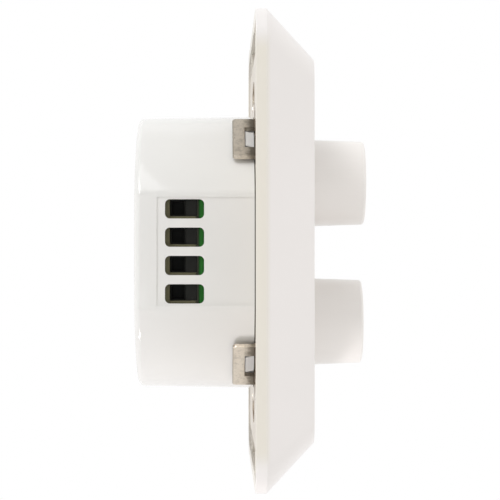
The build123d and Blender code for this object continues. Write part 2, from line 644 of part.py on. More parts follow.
# One turning control for each channel. The latched one stands deeper.
for channel, (height, sunk) in CHANNELS.items():
    with BuildPart() as pot_case:
        with BuildSketch(on_axis(height, sheet_back)):
            Rectangle(case_side, case_side)
        extrude(amount=wafer_back - sheet_back)
        fillet(pot_case.edges().filter_by(Axis.Y), CASE_EDGE)
        with BuildSketch(on_axis(height, sheet_back)):
            Circle(neck_radius)
        extrude(amount=neck_top - sheet_back)
        with BuildSketch(on_axis(height, case_inner)):
            Circle(POCKET_RADIUS)
        extrude(amount=wafer_front - case_inner, mode=Mode.SUBTRACT)
        with BuildSketch(on_axis(height, wafer_front)):
            Rectangle(wafer_side + 2 * WAFER_FIT, wafer_side + 2 * WAFER_FIT)
        extrude(amount=-WAFER_THICK, mode=Mode.SUBTRACT)
        with BuildSketch(on_axis(height, case_inner)):
            sector(POCKET_RADIUS + CASE_WALL / 2, 270, stop_half_angle)
            Circle(POCKET_RADIUS - STOP_REACH, mode=Mode.SUBTRACT)
        extrude(amount=wafer_front - case_inner)
        with BuildSketch(on_axis(height, case_inner)):
            Circle(SHAFT_RADIUS + SHAFT_GAP)
        extrude(amount=neck_top - case_inner, mode=Mode.SUBTRACT)
    write(pot_case, f"{channel}_pot_case")

    with BuildPart() as rotor:
        with BuildSketch(on_axis(height, rotor_back)):
            sector(lug_radius, 90, LUG_ANGLE / 2)
            Circle(rotor_radius)
            d_section(tail_radius + SHAFT_GAP, tail_flat + SHAFT_GAP, mode=Mode.SUBTRACT)
        extrude(amount=ROTOR_THICK)
    write(rotor, f"{channel}_rotor")

    with BuildPart() as track_wafer:
        with BuildSketch(on_axis(height, wafer_back)):
            Rectangle(wafer_side, wafer_side)
            Circle(tail_hole, mode=Mode.SUBTRACT)
        extrude(amount=WAFER_THICK)
    write(track_wafer, f"{channel}_track_wafer")

    with BuildPart() as switch_base:
        with BuildSketch(on_axis(height, board_front)):
            Rectangle(case_side, case_side)
        extrude(amount=SWITCH_THICK)
        fillet(switch_base.edges().filter_by(Axis.Y), CASE_EDGE)
        with BuildSketch(on_axis(height, bore_floor - BORE_WALL)):
            Circle(bore_boss)
        extrude(amount=board_front - bore_floor + BORE_WALL)
        with BuildSketch(on_axis(height, bore_floor)):
            Circle(bore_radius)
        extrude(amount=wafer_back - bore_floor, mode=Mode.SUBTRACT)
    write(switch_base, f"{channel}_switch_base")

    with BuildPart() as plunger:
        with BuildSketch(on_axis(height, plunger_back - sunk)):
            Circle(plunger_radius)
        extrude(amount=PLUNGER_LENGTH)
    write(plunger, f"{channel}_plunger")

    with BuildPart() as shaft:
        with BuildSketch(on_axis(height, collar_back - sunk)):
            Circle(SHAFT_RADIUS + COLLAR_LIP)
        extrude(amount=COLLAR_THICK)
        with BuildSketch(on_axis(height, collar_front - sunk)):
            Circle(SHAFT_RADIUS)
        extrude(amount=hub_level - collar_front)
        with BuildSketch(on_axis(height, hub_level - sunk)):
            d_section(SHAFT_RADIUS, SHAFT_FLAT)
        extrude(amount=shaft_top - hub_level)
        with BuildSketch(on_axis(height, tail_end - sunk)):
            d_section(tail_radius, tail_flat)
        extrude(amount=collar_back - tail_end)
    write(shaft, f"{channel}_shaft")

    with BuildPart() as knob:
        with BuildSketch(on_axis(height, knob_level - sunk)):
            Circle(knob_radius)
        extrude(amount=KNOB_LENGTH, taper=KNOB_DRAFT)
        fillet(knob.faces().sort_by(Axis.Y)[0].edges(), KNOB_EDGE)
        with BuildSketch(on_axis(height, knob_level - sunk)):
            Circle(knob_hollow)
        extrude(amount=KNOB_LENGTH - KNOB_TOP, taper=KNOB_DRAFT, mode=Mode.SUBTRACT)
        with BuildSketch(on_axis(height, hub_level - sunk)):
            with PolarLocations(0, KNOB_RIB_COUNT):
                with Locations((knob_hollow / 2, 0)):
                    Rectangle(knob_hollow, KNOB_RIB)
            Circle(hub_radius)
        extrude(amount=knob_ceiling - hub_level)
        with BuildSketch(on_axis(height, hub_level - sunk)):
            d_section(SHAFT_RADIUS + HUB_FIT, SHAFT_FLAT + HUB_FIT)
        extrude(amount=knob_ceiling - hub_level, mode=Mode.SUBTRACT)
    write(knob, f"{channel}_knob")

    coil_radius = plunger_radius - SPRING_WIRE
    coil_length = SPRING_LENGTH - sunk - SPRING_WIRE
    coil_start = bore_floor + SPRING_WIRE / 2
    with BuildPart() as return_spring:
        with BuildLine():
            foot = (0, -coil_start, height)
            coil = Helix(coil_length / SPRING_TURNS, coil_length, coil_radius, foot, (0, -1, 0))
        with BuildSketch(Plane(coil @ 0, z_dir=coil % 0)):
            Circle(SPRING_WIRE / 2)
        sweep(is_frenet=True)
    write(return_spring, f"{channel}_return_spring")
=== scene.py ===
"""Dressed model of a double push-and-turn wall dimmer, seen from its terminal side.

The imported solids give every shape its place. This script rounds the edges of the pieces that
show, gives each piece a procedural finish and sets up a plain white studio.
"""

from __future__ import annotations

import json
import logging
import math
from dataclasses import dataclass
from enum import Enum
from typing import Any, Union

import bpy
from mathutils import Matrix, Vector

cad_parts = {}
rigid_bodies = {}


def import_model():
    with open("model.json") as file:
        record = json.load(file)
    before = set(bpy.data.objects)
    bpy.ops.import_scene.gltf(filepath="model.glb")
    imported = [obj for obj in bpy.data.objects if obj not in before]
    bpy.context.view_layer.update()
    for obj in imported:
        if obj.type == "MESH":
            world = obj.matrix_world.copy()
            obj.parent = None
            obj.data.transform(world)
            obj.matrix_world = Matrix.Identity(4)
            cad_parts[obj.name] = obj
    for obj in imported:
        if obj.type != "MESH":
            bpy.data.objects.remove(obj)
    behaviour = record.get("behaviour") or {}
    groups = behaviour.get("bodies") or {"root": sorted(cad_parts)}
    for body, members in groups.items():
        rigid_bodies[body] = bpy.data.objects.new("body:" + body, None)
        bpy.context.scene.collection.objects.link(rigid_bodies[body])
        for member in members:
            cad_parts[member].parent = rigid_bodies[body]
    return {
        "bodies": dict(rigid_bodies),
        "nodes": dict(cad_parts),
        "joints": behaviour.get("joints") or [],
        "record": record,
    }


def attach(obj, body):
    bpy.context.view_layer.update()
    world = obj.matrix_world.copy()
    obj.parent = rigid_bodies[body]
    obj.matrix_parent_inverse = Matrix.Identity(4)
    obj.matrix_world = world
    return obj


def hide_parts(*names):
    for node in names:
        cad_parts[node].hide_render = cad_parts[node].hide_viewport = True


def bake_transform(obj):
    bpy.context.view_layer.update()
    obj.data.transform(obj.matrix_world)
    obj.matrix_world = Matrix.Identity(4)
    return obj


LOG = logging.getLogger("dimmer")
MM = 0.001
MATERIAL_OUTPUT = "ShaderNodeOutputMaterial"
MIX_SHARE, MIX_FIRST, MIX_SECOND = 0, 6, 7
MIX_RESULT = 2
NOISE_MEAN = 0.5

Colour = tuple[float, float, float]
Triple = tuple[float, float, float]
Span = tuple[float, float]
Number = Union["Value", float]

WHITE: Colour = (1.0, 1.0, 1.0)
COOL_WHITE: Colour = (0.95, 0.975, 1.0)
ROSY_WHITE: Colour = (1.0, 0.945, 0.965)
MIDDLE: Triple = (0.0, 0.0, 0.0)
UNTURNED: Triple = (0.0, 0.0, 0.0)
WITHOUT_DEPTH: Triple = (1.0, 0.0, 1.0)
WITHOUT_HEIGHT: Triple = (1.0, 1.0, 0.0)


class Axis(Enum):
    """Directions of the part's frame, as indices of a vector."""

    ACROSS = 0
    DEPTH = 1
    HEIGHT = 2


class Step(Enum):
    """Operations of a Math node that the finishes use."""

    ADD = "ADD"
    SUBTRACT = "SUBTRACT"
    MULTIPLY = "MULTIPLY"
    LARGER = "MAXIMUM"
    SIZE = "ABSOLUTE"
    FRACTION = "FRACT"


class Channel(Enum):
    """The two turning controls."""

    UPPER = "upper"
    LOWER = "lower"


class Value:
    """One output of a shader tree. Arithmetic on it adds Math nodes."""

    def __init__(self, tree: "ShaderTree", output: bpy.types.NodeSocket) -> None:
        """Keep the tree and the output socket together."""
        self.tree = tree
        self.output = output

    def _math(self, step: Step, first: Number, second: Number = 0.0) -> "Value":
        """Add one Math node.

        Args:
            step: What the node works out.
            first: First operand.
            second: Second operand, unused by steps of one value.

        Returns:
            The node's result.
        """
        return self.tree.node("ShaderNodeMath", {"operation": step.value}, {0: first, 1: second})

    def __add__(self, other: Number) -> "Value":
        """Sum of both."""
        return self._math(Step.ADD, self, other)

    def __radd__(self, other: Number) -> "Value":
        """Sum of both."""
        return self._math(Step.ADD, other, self)

    def __sub__(self, other: Number) -> "Value":
        """This less the other."""
        return self._math(Step.SUBTRACT, self, other)

    def __rsub__(self, other: Number) -> "Value":
        """The other less this."""
        return self._math(Step.SUBTRACT, other, self)

    def __mul__(self, other: Number) -> "Value":
        """Product of both."""
        return self._math(Step.MULTIPLY, self, other)

    def __rmul__(self, other: Number) -> "Value":
        """Product of both."""
        return self._math(Step.MULTIPLY, other, self)

    def __abs__(self) -> "Value":
        """Size without its sign."""
        return self._math(Step.SIZE, self)

    def larger(self, other: Number) -> "Value":
        """The larger of both."""
        return self._math(Step.LARGER, self, other)

    def fraction(self) -> "Value":
        """What is left after the whole number."""
        return self._math(Step.FRACTION, self)

    def ease(self, low: float, high: float) -> "Value":
        """Smooth rise from nought to one.

        Args:
            low: Value at which the rise starts.
            high: Value at which it is complete.

        Returns:
            The eased value.
        """
        settings = {"interpolation_type": "SMOOTHSTEP"}
        return self.tree.node("ShaderNodeMapRange", settings, {0: self, 1: low, 2: high})


class ShaderTree:
    """Builds the nodes of one material or world."""

    def __init__(self, tree: bpy.types.NodeTree) -> None:
        """Start with an empty tree."""
        self.tree = tree
        self.tree.nodes.clear()

    def node(
        self,
        kind: str,
        settings: dict[str, Any] | None = None,
        inputs: dict[Any, Any] | None = None,
        output: int | str = 0,
    ) -> Value:
        """Add one node of any type.

        Args:
            kind: The node's type.
            settings: Its own settings, set first.
            inputs: Values or links of its sockets, by name or index.
            output: Which output to return.

        Returns:
            The chosen output.
        """
        made = self.tree.nodes.new(kind)
        for name, value in (settings or {}).items():
            setattr(made, name, value)
        for key, value in (inputs or {}).items():
            socket = made.inputs[key]
            if isinstance(value, Value):
                self.tree.links.new(value.output, socket)
            elif isinstance(value, tuple) and len(value) == 3 and len(socket.default_value) == 4:
                socket.default_value = (*value, 1.0)
            else:
                socket.default_value = value
        return Value(self, made.outputs[output] if made.outputs else None)

    def place(self) -> Value:
        """Object coordinates, which are the part's own frame in metres."""
        return self.node("ShaderNodeTexCoord", output="Object")

    def along(self, vector: Value, axis: Axis) -> Value:
        """One component of a vector."""
        return self.node("ShaderNodeSeparateXYZ", inputs={0: vector}, output=axis.value)

    def facing(self, vector: Value, toward: Triple) -> Value:
        """How far a vector points a given way."""
        inputs = {0: vector, 1: toward}
        return self.node("ShaderNodeVectorMath", {"operation": "DOT_PRODUCT"}, inputs, "Value")

    def length(self, vector: Value) -> Value:
        """Length of a vector."""
        return self.node("ShaderNodeVectorMath", {"operation": "LENGTH"}, {0: vector}, "Value")

    def stretched(self, vector: Value, scale: Triple, turn: Triple = UNTURNED) -> Value:
        """Coordinates turned and stretched for a pattern with a direction.

        Args:
            vector: Coordinates to change.
            scale: Scale along each axis.
            turn: Turn about each axis, in radians.

        Returns:
            The changed coordinates.
        """
        inputs = {"Vector": vector, "Rotation": turn, "Scale": scale}
        return self.node("ShaderNodeMapping", inputs=inputs)

    def from_axis(self, place: Value) -> Value:
        """Distance from the part's middle axis, which runs along the depth."""
        return self.length(self.stretched(place, WITHOUT_DEPTH))

    def noise(self, vector: Value, scale: float, detail: float = 2.0, rough: float = 0.5) -> Value:
        """Soft noise between nought and one.

        Args:
            vector: Coordinates to read.
            scale: Features to the metre.
            detail: Octaves.
            rough: Share of the finer octaves.

        Returns:
            The noise value.
        """
        inputs = {"Vector": vector, "Scale": scale, "Detail": detail, "Roughness": rough}
        return self.node("ShaderNodeTexNoise", inputs=inputs)

    def blend(
        self,
        share: Number,
        first: Value | Colour,
        second: Value | Colour,
        way: str = "MIX",
    ) -> Value:
        """Mix of two colours.

        Args:
            share: Share of the second colour.
            first: Colour at nought.
            second: Colour at one.
            way: How the second is laid on the first.

        Returns:
            The mixed colour.
        """
        settings = {"data_type": "RGBA", "blend_type": way}
        inputs = {MIX_SHARE: share, MIX_FIRST: first, MIX_SECOND: second}
        return self.node("ShaderNodeMix", settings, inputs, MIX_RESULT)

    def relief(
        self,
        height: Value,
        strength: float,
        depth: float,
        under: Value | None = None,
    ) -> Value:
        """Normal of a surface with fine relief.

        Args:
            height: Height between nought and one.
            strength: Share of the relief that shows.
            depth: Full depth of the relief in metres.
            under: Normal of a coarser relief below it.

        Returns:
            The changed normal.
        """
        inputs: dict[Any, Any] = {"Height": height, "Strength": strength, "Distance": depth}
        if under is not None:
            inputs["Normal"] = under
        return self.node("ShaderNodeBump", inputs=inputs)

    def watched(self) -> Value:
        """One on rays from the camera."""
        return self.node("ShaderNodeLightPath", output="Is Camera Ray")

    def mirrored(self) -> Value:
        """One on rays that show a surface in metal or glass."""
        glossy = self.node("ShaderNodeLightPath", output="Is Glossy Ray")
        return glossy.larger(self.node("ShaderNodeLightPath", output="Is Transmission Ray"))

    def surface(self, **inputs: Any) -> None:
        """Principled surface of a material.

        Args:
            **inputs: Sockets of the Principled shader, with _ for a space.
        """
        named = {name.replace("_", " "): value for name, value in inputs.items()}
        shader = self.node("ShaderNodeBsdfPrincipled", inputs=named)
        self.node(MATERIAL_OUTPUT, inputs={"Surface": shader})


def new_tree(name: str) -> tuple[bpy.types.Material, ShaderTree]:
    """Make an empty node material.

    Args:
        name: The material's name.

    Returns:
        The material and its tree.
    """
    material = bpy.data.materials.new(name)
    material.use_nodes = True
    return material, ShaderTree(material.node_tree)


@dataclass(frozen=True)
class MouldedPlastic:
    """Injection-moulded plastic with a slow drift of tone and a fine mould texture.

    Where a painted edge colour is given, it comes in over the edge levels, measured along the
    depth, and fades over the edge reach, measured from the middle axis. It paints light and shade
    near an edge.
    """

    name: str
    colour: Colour
    drift_colour: Colour
    roughness: float = 0.32
    roughness_spread: float = 0.08
    grain_scale: float = 2600.0
    grain_depth: float = 0.010 * MM
    grain_strength: float = 0.4
    grain_share: float = 0.5
    wave_ratio: float = 4.0
    wave_depth: float = 0.02 * MM
    wave_strength: float = 0.25
    smear_ratio: float = 9.0
    drift_scale: float = 38.0
    drift_range: Span = (0.3, 0.7)
    painted_edge_colour: Colour | None = None
    edge_levels: Span = (0.0, 0.0)
    edge_reach: Span | None = None
    gloss_index: float = 1.5

    def material(self) -> bpy.types.Material:
        """Build the finish."""
        made, tree = new_tree(self.name)
        place = tree.place()
        drift = tree.noise(place, self.drift_scale, detail=3.0)
        colour = tree.blend(drift.ease(*self.drift_range), self.colour, self.drift_colour)
        # Painted light and shade: the base colour turns to the painted edge colour near an edge.
        if self.painted_edge_colour is not None:
            share = tree.along(place, Axis.DEPTH).ease(*self.edge_levels)
            if self.edge_reach is not None:
                share = share * tree.from_axis(place).ease(*self.edge_reach)
            colour = tree.blend(share, colour, self.painted_edge_colour)
        grain = tree.noise(place, self.grain_scale, detail=3.0, rough=0.6)
        waves = tree.noise(place, self.drift_scale * self.wave_ratio)
        smear = tree.noise(place, self.drift_scale * self.smear_ratio, detail=4.0, rough=0.6)
        normal = tree.relief(waves, self.wave_strength, self.wave_depth)
        normal = tree.relief(grain, self.grain_strength, self.grain_depth, normal)
        uneven = (smear - NOISE_MEAN) + self.grain_share * (grain - NOISE_MEAN)
        roughness = self.roughness + self.roughness_spread * uneven
        tree.surface(Base_Color=colour, Roughness=roughness, Normal=normal, IOR=self.gloss_index)
        return made


@dataclass(frozen=True)
class SheetMetal:
    """Plated or drawn metal with rolling lines, a speckled plating and dull patches.

    Where a bend colour is given, tabs behind the sheet darken toward the bend, painted shade of
    the frame with some wear, and toward the tip.
    """

    name: str
    colour: Colour
    dull_colour: Colour
    roughness: float = 0.3
    dull_roughness: float = 0.16
    dull_range: Span = (0.3, 0.75)
    patch_scale: float = 160.0
    patch_range: Span = (0.35, 0.7)
    scratch_scale: float = 900.0
    scratch_depth: float = 0.012 * MM
    scratch_strength: float = 0.5
    scratch_share: float = 0.3
    scratch_dark: float = 0.7
    scratch_roughness: float = 0.12
    rolled_stretch: Triple = (1.0, 1.0, 14.0)
    rolled_range: Span = (0.60, 0.78)
    crossed_stretch: Triple = (12.0, 1.0, 1.0)
    crossed_turn: Triple = (0.0, 0.6, 0.3)
    crossed_ratio: float = 0.8
    crossed_range: Span = (0.62, 0.8)
    speckle: float = 0.3
    speckle_scale: float = 2600.0
    speckle_depth: float = 0.03 * MM
    speckle_dark: float = 0.5
    speckle_range: Span = (0.56, 0.70)
    bend_colour: Colour | None = None
    bend_levels: Span = (2.3 * MM, 0.5 * MM)
    bend_reach: Span = (29.0 * MM, 27.5 * MM)
    bend_raggedness: float = 2.0 * MM
    tab_levels: Span = (0.01 * MM, 0.1 * MM)
    tip_levels: Span = (3.75 * MM, 4.03 * MM)
    tip_darkening: float = 0.6
    mottle_scale: float = 900.0
    mottle_range: Span = (0.45, 0.7)
    mottle_wear: float = 0.3

    def darker(self, share: float) -> Colour:
        """The dull colour times a share."""
        red, green, blue = self.dull_colour
        return (share * red, share * green, share * blue)

    def material(self) -> bpy.types.Material:
        """Build the finish."""
        made, tree = new_tree(self.name)
        place = tree.place()
        patches = tree.noise(place, self.patch_scale, detail=4.0, rough=0.6)
        rolled = tree.noise(tree.stretched(place, self.rolled_stretch), self.scratch_scale)
        slanted = tree.stretched(place, self.crossed_stretch, self.crossed_turn)
        crossed = tree.noise(slanted, self.scratch_scale * self.crossed_ratio)
        scratches = rolled.ease(*self.rolled_range).larger(crossed.ease(*self.crossed_range))
        crystals = tree.noise(place, self.speckle_scale, detail=3.0, rough=0.65)
        pits = crystals.ease(*self.speckle_range)
        colour = tree.blend(patches.ease(*self.patch_range), self.colour, self.dull_colour)
        scratched = self.scratch_share * scratches
        colour = tree.blend(scratched, colour, self.darker(self.scratch_dark))
        colour = tree.blend(pits * self.speckle, colour, self.darker(self.speckle_dark))
        # Painted shade with some wear: the tabs darken toward the bend by the frame, and toward
        # the tip.
        if self.bend_colour is not None:
            depth = tree.along(place, Axis.DEPTH)
            on_tab = tree.from_axis(place).ease(*self.bend_reach) * depth.ease(*self.tab_levels)
            mottle = tree.noise(place, self.mottle_scale, detail=3.0, rough=0.6)
            ragged = depth + self.bend_raggedness * (mottle - NOISE_MEAN)
            shade_and_wear = ragged.ease(*self.bend_levels)
            shade_and_wear = shade_and_wear.larger(self.tip_darkening * depth.ease(*self.tip_levels))
            shade_and_wear = shade_and_wear.larger(self.mottle_wear * mottle.ease(*self.mottle_range))
            colour = tree.blend(on_tab * shade_and_wear, colour, self.bend_colour)
        dull = self.dull_roughness * patches.ease(*self.dull_range)
        roughness = self.roughness + dull + self.scratch_roughness * scratches
        normal = tree.relief(scratches, self.scratch_strength, self.scratch_depth)
        normal = tree.relief(crystals, self.speckle, self.speckle_depth, normal)
        tree.surface(Base_Color=colour, Roughness=roughness, Normal=normal, Metallic=1.0)
        return made


@dataclass(frozen=True)
class BoardLaminate:
    """Glass-fibre board with a green mask, copper tracks below it and a layered edge.

    The edge darkens over the rim levels, toward the face that carries the terminals: painted shade
    of the terminal block.
    """

    name: str
    mask: Colour
    track: Colour
    edge: Colour
    edge_layer: Colour
    rim_shade: Colour = (0.006, 0.045, 0.006)
    rim_levels: Span = (9.7 * MM, 10.1 * MM)
    face_range: Span = (0.5, 0.8)
    track_scale: float = 420.0
    track_stretch: Triple = (1.0, 0.05, 0.22)
    track_range: Span = (0.52, 0.55)
    layer_scale: float = 620.0
    layer_stretch: Triple = (0.3, 9.0, 0.3)
    layer_range: Span = (0.4, 0.65)
    layer_depth: float = 0.02 * MM
    layer_strength: float = 0.5
    edge_roughness: float = 0.62
    mask_gloss: float = 0.3
    layer_roughness: float = 0.1
    gloss_index: float = 1.4

    def material(self) -> bpy.types.Material:
        """Build the finish."""
        made, tree = new_tree(self.name)
        place = tree.place()
        normal = tree.node("ShaderNodeNewGeometry", output="Normal")
        on_face = abs(tree.along(normal, Axis.DEPTH)).ease(*self.face_range)
        banded = tree.stretched(place, self.track_stretch)
        bands = tree.noise(banded, self.track_scale, detail=0.0)
        faces = tree.blend(bands.ease(*self.track_range), self.mask, self.track)
        layered = tree.stretched(place, self.layer_stretch)
        layers = tree.noise(layered, self.layer_scale, detail=3.0)
        edges = tree.blend(layers.ease(*self.layer_range), self.edge, self.edge_layer)
        # Painted shade: the board's edge darkens next to the terminal block.
        rim = tree.along(place, Axis.DEPTH).ease(*self.rim_levels)
        edges = tree.blend(rim, edges, self.rim_shade)
        colour = tree.blend(on_face, edges, faces)
        roughness = self.edge_roughness - self.mask_gloss * on_face
        roughness = roughness + self.layer_roughness * (layers - NOISE_MEAN)
        bump = tree.relief(layers, self.layer_strength, self.layer_depth)
        tree.surface(Base_Color=colour, Roughness=roughness, Normal=bump, IOR=self.gloss_index)
        return made


@dataclass(frozen=True)
class WoundWire:
    """Enamelled wire laid turn beside turn round a ring core."""

    name: str
    colour: Colour
    shadow: Colour
    turns: float = 2300.0
    wobble_scale: float = 300.0
    wobble_share: float = 0.4
    wire_depth: float = 0.15 * MM
    wire_strength: float = 0.8
    crown_range: Span = (0.1, 0.6)
    groove_roughness: float = 0.34
    crown_gloss: float = 0.08

    def material(self) -> bpy.types.Material:
        """Build the finish."""
        made, tree = new_tree(self.name)
        place = tree.place()
        wobble = self.wobble_share * tree.noise(place, self.wobble_scale)
        lay = (tree.along(place, Axis.HEIGHT) * self.turns + wobble).fraction()
        crown = 1.0 - abs(lay * 2.0 - 1.0)
        colour = tree.blend(crown.ease(*self.crown_range), self.shadow, self.colour)
        bump = tree.relief(crown, self.wire_strength, self.wire_depth)
        roughness = self.groove_roughness - self.crown_gloss * crown
        tree.surface(Base_Color=colour, Roughness=roughness, Normal=bump, Metallic=1.0)
        return made


Finish = Union[MouldedPlastic, SheetMetal, BoardLaminate, WoundWire]

FINISHES: tuple[Finish, ...] = (
    MouldedPlastic(
        "frame_white",
        (0.892, 0.863, 0.850),
        (0.872, 0.845, 0.831),
        # Painted light and shade: a warmer, darker cream toward the rim's back edge stands in for
        # warm bounced light.
        painted_edge_colour=(0.815, 0.777, 0.70),
        edge_levels=(-2.4 * MM, -1.2 * MM),
        edge_reach=(55.4 * MM, 53.0 * MM),
    ),
    MouldedPlastic("centre_white", (0.892, 0.865, 0.850), (0.872, 0.847, 0.831)),
    MouldedPlastic("knob_white", (0.905, 0.878, 0.852), (0.885, 0.856, 0.828), 0.3),
    MouldedPlastic(
        "housing_white",
        (0.857, 0.853, 0.838),
        (0.837, 0.833, 0.816),
        roughness=0.045,
        roughness_spread=0.01,
        grain_depth=0.0005 * MM,
        wave_depth=0.004 * MM,
        # Painted shade with some dust: a near-black line in the joint at the housing's foot, by
        # the plate.
        painted_edge_colour=(0.07, 0.068, 0.058),
        edge_levels=(0.22 * MM, 0.14 * MM),
    ),
    SheetMetal(
        "plate_steel",
        (0.71, 0.64, 0.545),
        (0.66, 0.59, 0.5),
        0.27,
        scratch_scale=500.0,
        speckle=0.4,
        # Painted shade of the frame with some wear, darkest at the tabs' bend.
        bend_colour=(0.2, 0.175, 0.14),
    ),
    MouldedPlastic("insulating_film", (0.72, 0.68, 0.55), (0.66, 0.62, 0.5), 0.28),
    BoardLaminate(
        "board_green",
        mask=(0.012, 0.13, 0.03),
        track=(0.03, 0.2, 0.05),
        edge=(0.008, 0.15, 0.008),
        edge_layer=(0.025, 0.22, 0.022),
    ),
    MouldedPlastic(
        "terminal_beige",
        (0.225, 0.215, 0.12),
        (0.18, 0.17, 0.095),
        0.45,
        # Painted shade: the block darkens next to the board's edge.
        painted_edge_colour=(0.06, 0.058, 0.036),
        edge_levels=(10.75 * MM, 10.5 * MM),
        gloss_index=1.4,
    ),
    MouldedPlastic(
        "clamp_black",
        (0.012, 0.012, 0.009),
        (0.009, 0.009, 0.007),
        0.5,
        gloss_index=1.36,
    ),
    MouldedPlastic("component_black", (0.02, 0.02, 0.02), (0.03, 0.03, 0.03), 0.5),
    MouldedPlastic("component_yellow", (0.62, 0.38, 0.05), (0.55, 0.33, 0.04), 0.35),
    MouldedPlastic("component_brown", (0.12, 0.05, 0.025), (0.09, 0.04, 0.02), 0.35),
    SheetMetal("can_aluminium", (0.78, 0.78, 0.78), (0.68, 0.68, 0.69), 0.28),
    MouldedPlastic("core_iron", (0.05, 0.055, 0.05), (0.035, 0.04, 0.035), 0.6),
    WoundWire("winding_copper", (0.75, 0.33, 0.13), (0.22, 0.08, 0.03)),
    MouldedPlastic("control_black", (0.022, 0.022, 0.024), (0.03, 0.03, 0.032), 0.42),
    MouldedPlastic("rotor_white", (0.7, 0.69, 0.64), (0.66, 0.65, 0.6), 0.4),
    MouldedPlastic("wafer_brown", (0.28, 0.14, 0.05), (0.22, 0.11, 0.04), 0.5),
    MouldedPlastic("shaft_grey", (0.42, 0.42, 0.42), (0.38, 0.38, 0.38), 0.42),
    SheetMetal("spring_steel", (0.6, 0.6, 0.6), (0.5, 0.5, 0.5), 0.24),
    SheetMetal("nut_brass", (0.72, 0.66, 0.5), (0.6, 0.53, 0.38), 0.26),
    SheetMetal("washer_steel", (0.6, 0.58, 0.55), (0.5, 0.48, 0.45), 0.3),
)


MERGE_DISTANCE = 0.0005 * MM


def merged_copy(node: bpy.types.Object, name: str) -> bpy.types.Object:
    """Copy of a solid with its loose triangles joined, selected and active.

    Args:
        node: The solid to copy.
        name: Name of the copy.

    Returns:
        The copy, at the origin.
    """
    piece = bpy.data.objects.new(name, node.data.copy())
    bpy.context.scene.collection.objects.link(piece)
    bpy.ops.object.select_all(action="DESELECT")
    piece.select_set(True)
    bpy.context.view_layer.objects.active = piece
    bpy.ops.object.mode_set(mode="EDIT")
    bpy.ops.mesh.select_all(action="SELECT")
    bpy.ops.mesh.customdata_custom_splitnormals_clear()
    bpy.ops.mesh.remove_doubles(threshold=MERGE_DISTANCE)
    bpy.ops.object.mode_set(mode="OBJECT")
    return piece


@dataclass(frozen=True)
class EdgeRounding:
    """How the edges of one piece are rounded, as a mould or a press leaves them."""

    width: float
    segments: int
    sharp_angle: float = 32.0
    flat_angle: float = 0.3
    flat_weight: int = 100

    def copy_of(self, node: bpy.types.Object, name: str) -> bpy.types.Object:
        """Merged copy of a solid with rounded edges.

        Args:
            node: The solid to copy.
            name: Name of the copy.

        Returns:
            The copy, at the origin.
        """
        piece = merged_copy(node, name)
        bpy.ops.object.mode_set(mode="EDIT")
        bpy.ops.mesh.select_all(action="SELECT")
        bpy.ops.mesh.dissolve_limited(angle_limit=math.radians(self.flat_angle))
        bpy.ops.object.mode_set(mode="OBJECT")
        bevel = piece.modifiers.new("edges", "BEVEL")
        bevel.width = self.width
        bevel.segments = self.segments
        bevel.limit_method = "ANGLE"
        bevel.angle_limit = math.radians(self.sharp_angle)
        bevel.use_clamp_overlap = True
        bpy.ops.object.modifier_apply(modifier=bevel.name)
        bpy.ops.object.shade_smooth_by_angle(angle=math.radians(self.sharp_angle))
        level = piece.modifiers.new("level", "WEIGHTED_NORMAL")
        level.mode = "FACE_AREA"
        level.weight = self.flat_weight
        level.keep_sharp = True
        bpy.ops.object.modifier_apply(modifier=level.name)
        return piece


MOULDED_EDGE = EdgeRounding(0.12 * MM, 3)
PRESSED_EDGE = EdgeRounding(0.06 * MM, 2)
SPRING_SMOOTH_ANGLE = 40.0


class Bench:
    """Holds the loaded solids and hands out finishes by the record's material slots."""

    def __init__(self, frame: dict[str, Any]) -> None:
        """Read which slot and body each solid has.
        """
        record = frame["record"]
        self.nodes: dict[str, bpy.types.Object] = frame["nodes"]
        self.slots = {part["node"]: part["material_slot"] for part in record["subparts"]}
        bodies = record["behaviour"]["bodies"]
        self.bodies = {node: body for body, held in bodies.items() for node in held}
        self.materials = {finish.name: finish.material() for finish in FINISHES}

    def dress(self, piece: bpy.types.Object, node: str) -> None:
        """Give a piece the finish of a solid.

        Args:
            piece: The object to dress.
            node: The solid whose slot it takes.
        """
        piece.data.materials.clear()
        piece.data.materials.append(self.materials[self.slots[node]])
        LOG.info("%s: %d faces, %s", piece.name, len(piece.data.polygons), self.slots[node])

    def keep(self, *nodes: str) -> None:
        """Dress solids that stay as they are."""
        for node in nodes:
            self.dress(self.nodes[node], node)

    def rounded(self, node: str, edge: EdgeRounding) -> None:
        """Stand a copy with rounded edges in for a solid.

        Args:
            node: The solid to replace.
            edge: How its edges are rounded.
        """
        piece = edge.copy_of(self.nodes[node], f"{node}_form")
        self.dress(piece, node)
        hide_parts(node)
        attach(piece, self.bodies[node])

    def springy(self, node: str, moving_body: str) -> None:
        """Stand a smooth-shaded copy in for a coil spring along the depth.

        Args:
            node: The spring to replace.
            moving_body: Not used.
        """
        piece = merged_copy(self.nodes[node], f"{node}_form")
        bpy.ops.object.shade_smooth_by_angle(angle=math.radians(SPRING_SMOOTH_ANGLE))
        self.dress(piece, node)
        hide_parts(node)
        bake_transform(piece)


@dataclass
class CoverSet:
    """Bevelled cover frame and the flush plate in its window."""

    bench: Bench
    frame_edge: EdgeRounding = MOULDED_EDGE
    plate_edge: EdgeRounding = MOULDED_EDGE

    def build(self) -> None:
        """Round and dress both mouldings."""
        self.bench.rounded("cover_frame", self.frame_edge)
        self.bench.rounded("centre_plate", self.plate_edge)


@dataclass
class KnobPair:
    """The two knobs, each on its own control."""

    bench: Bench
    edge: EdgeRounding = MOULDED_EDGE

    def build(self) -> None:
        """Round and dress both knobs."""
        for channel in Channel:
            self.bench.rounded(f"{channel.value}_knob", self.edge)


